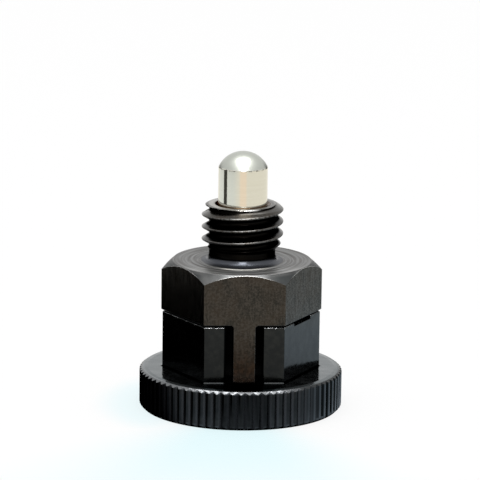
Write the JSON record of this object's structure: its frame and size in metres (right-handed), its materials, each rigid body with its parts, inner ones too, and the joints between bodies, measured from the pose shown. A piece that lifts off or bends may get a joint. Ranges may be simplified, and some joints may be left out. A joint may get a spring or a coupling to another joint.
{
  "type": "indexing plunger",
  "caption": "Compact indexing plunger with rest position: threaded nose and domed locking pin, hexagon body with tongues, and a knurled pull knob with a slotted hexagon collar.",
  "frame": {"origin": "centre of the hexagon's seat face, on the thread's axis", "axes": "+Z along the axis out of the threaded nose towards the pin's tip, so the knob is at -Z and the part stands on the knob; -Y is the front, where one tongue shows in the knob's slot; +X to the right"},
  "size_m": [0.0248, 0.0248, 0.0317],
  "materials": {
    "housing": "satin",
    "plunger_pin": "polished",
    "spring": "satin",
    "knob": "gloss"
  },
  "bodies": {
    "body": {"housing": "housing"},
    "coil": {"spring": "spring"},
    "plunger": {"plunger_pin": "plunger_pin", "knob": "knob"}
  },
  "joints": [
    {"name": "turn", "type": "hinge", "parent": "body", "child": "coil", "pos_m": [0, 0, -0.0114], "axis": [0, 0, 1], "range_deg": [-6.2, 6.2]},
    {"name": "pull", "type": "slide", "parent": "coil", "child": "plunger", "axis": [0, 0, -1], "range_m": [0, 0.0074], "stiffness_N_per_m": 1713, "springref_m": -0.0043, "deforming": ["spring"]}
  ]
}
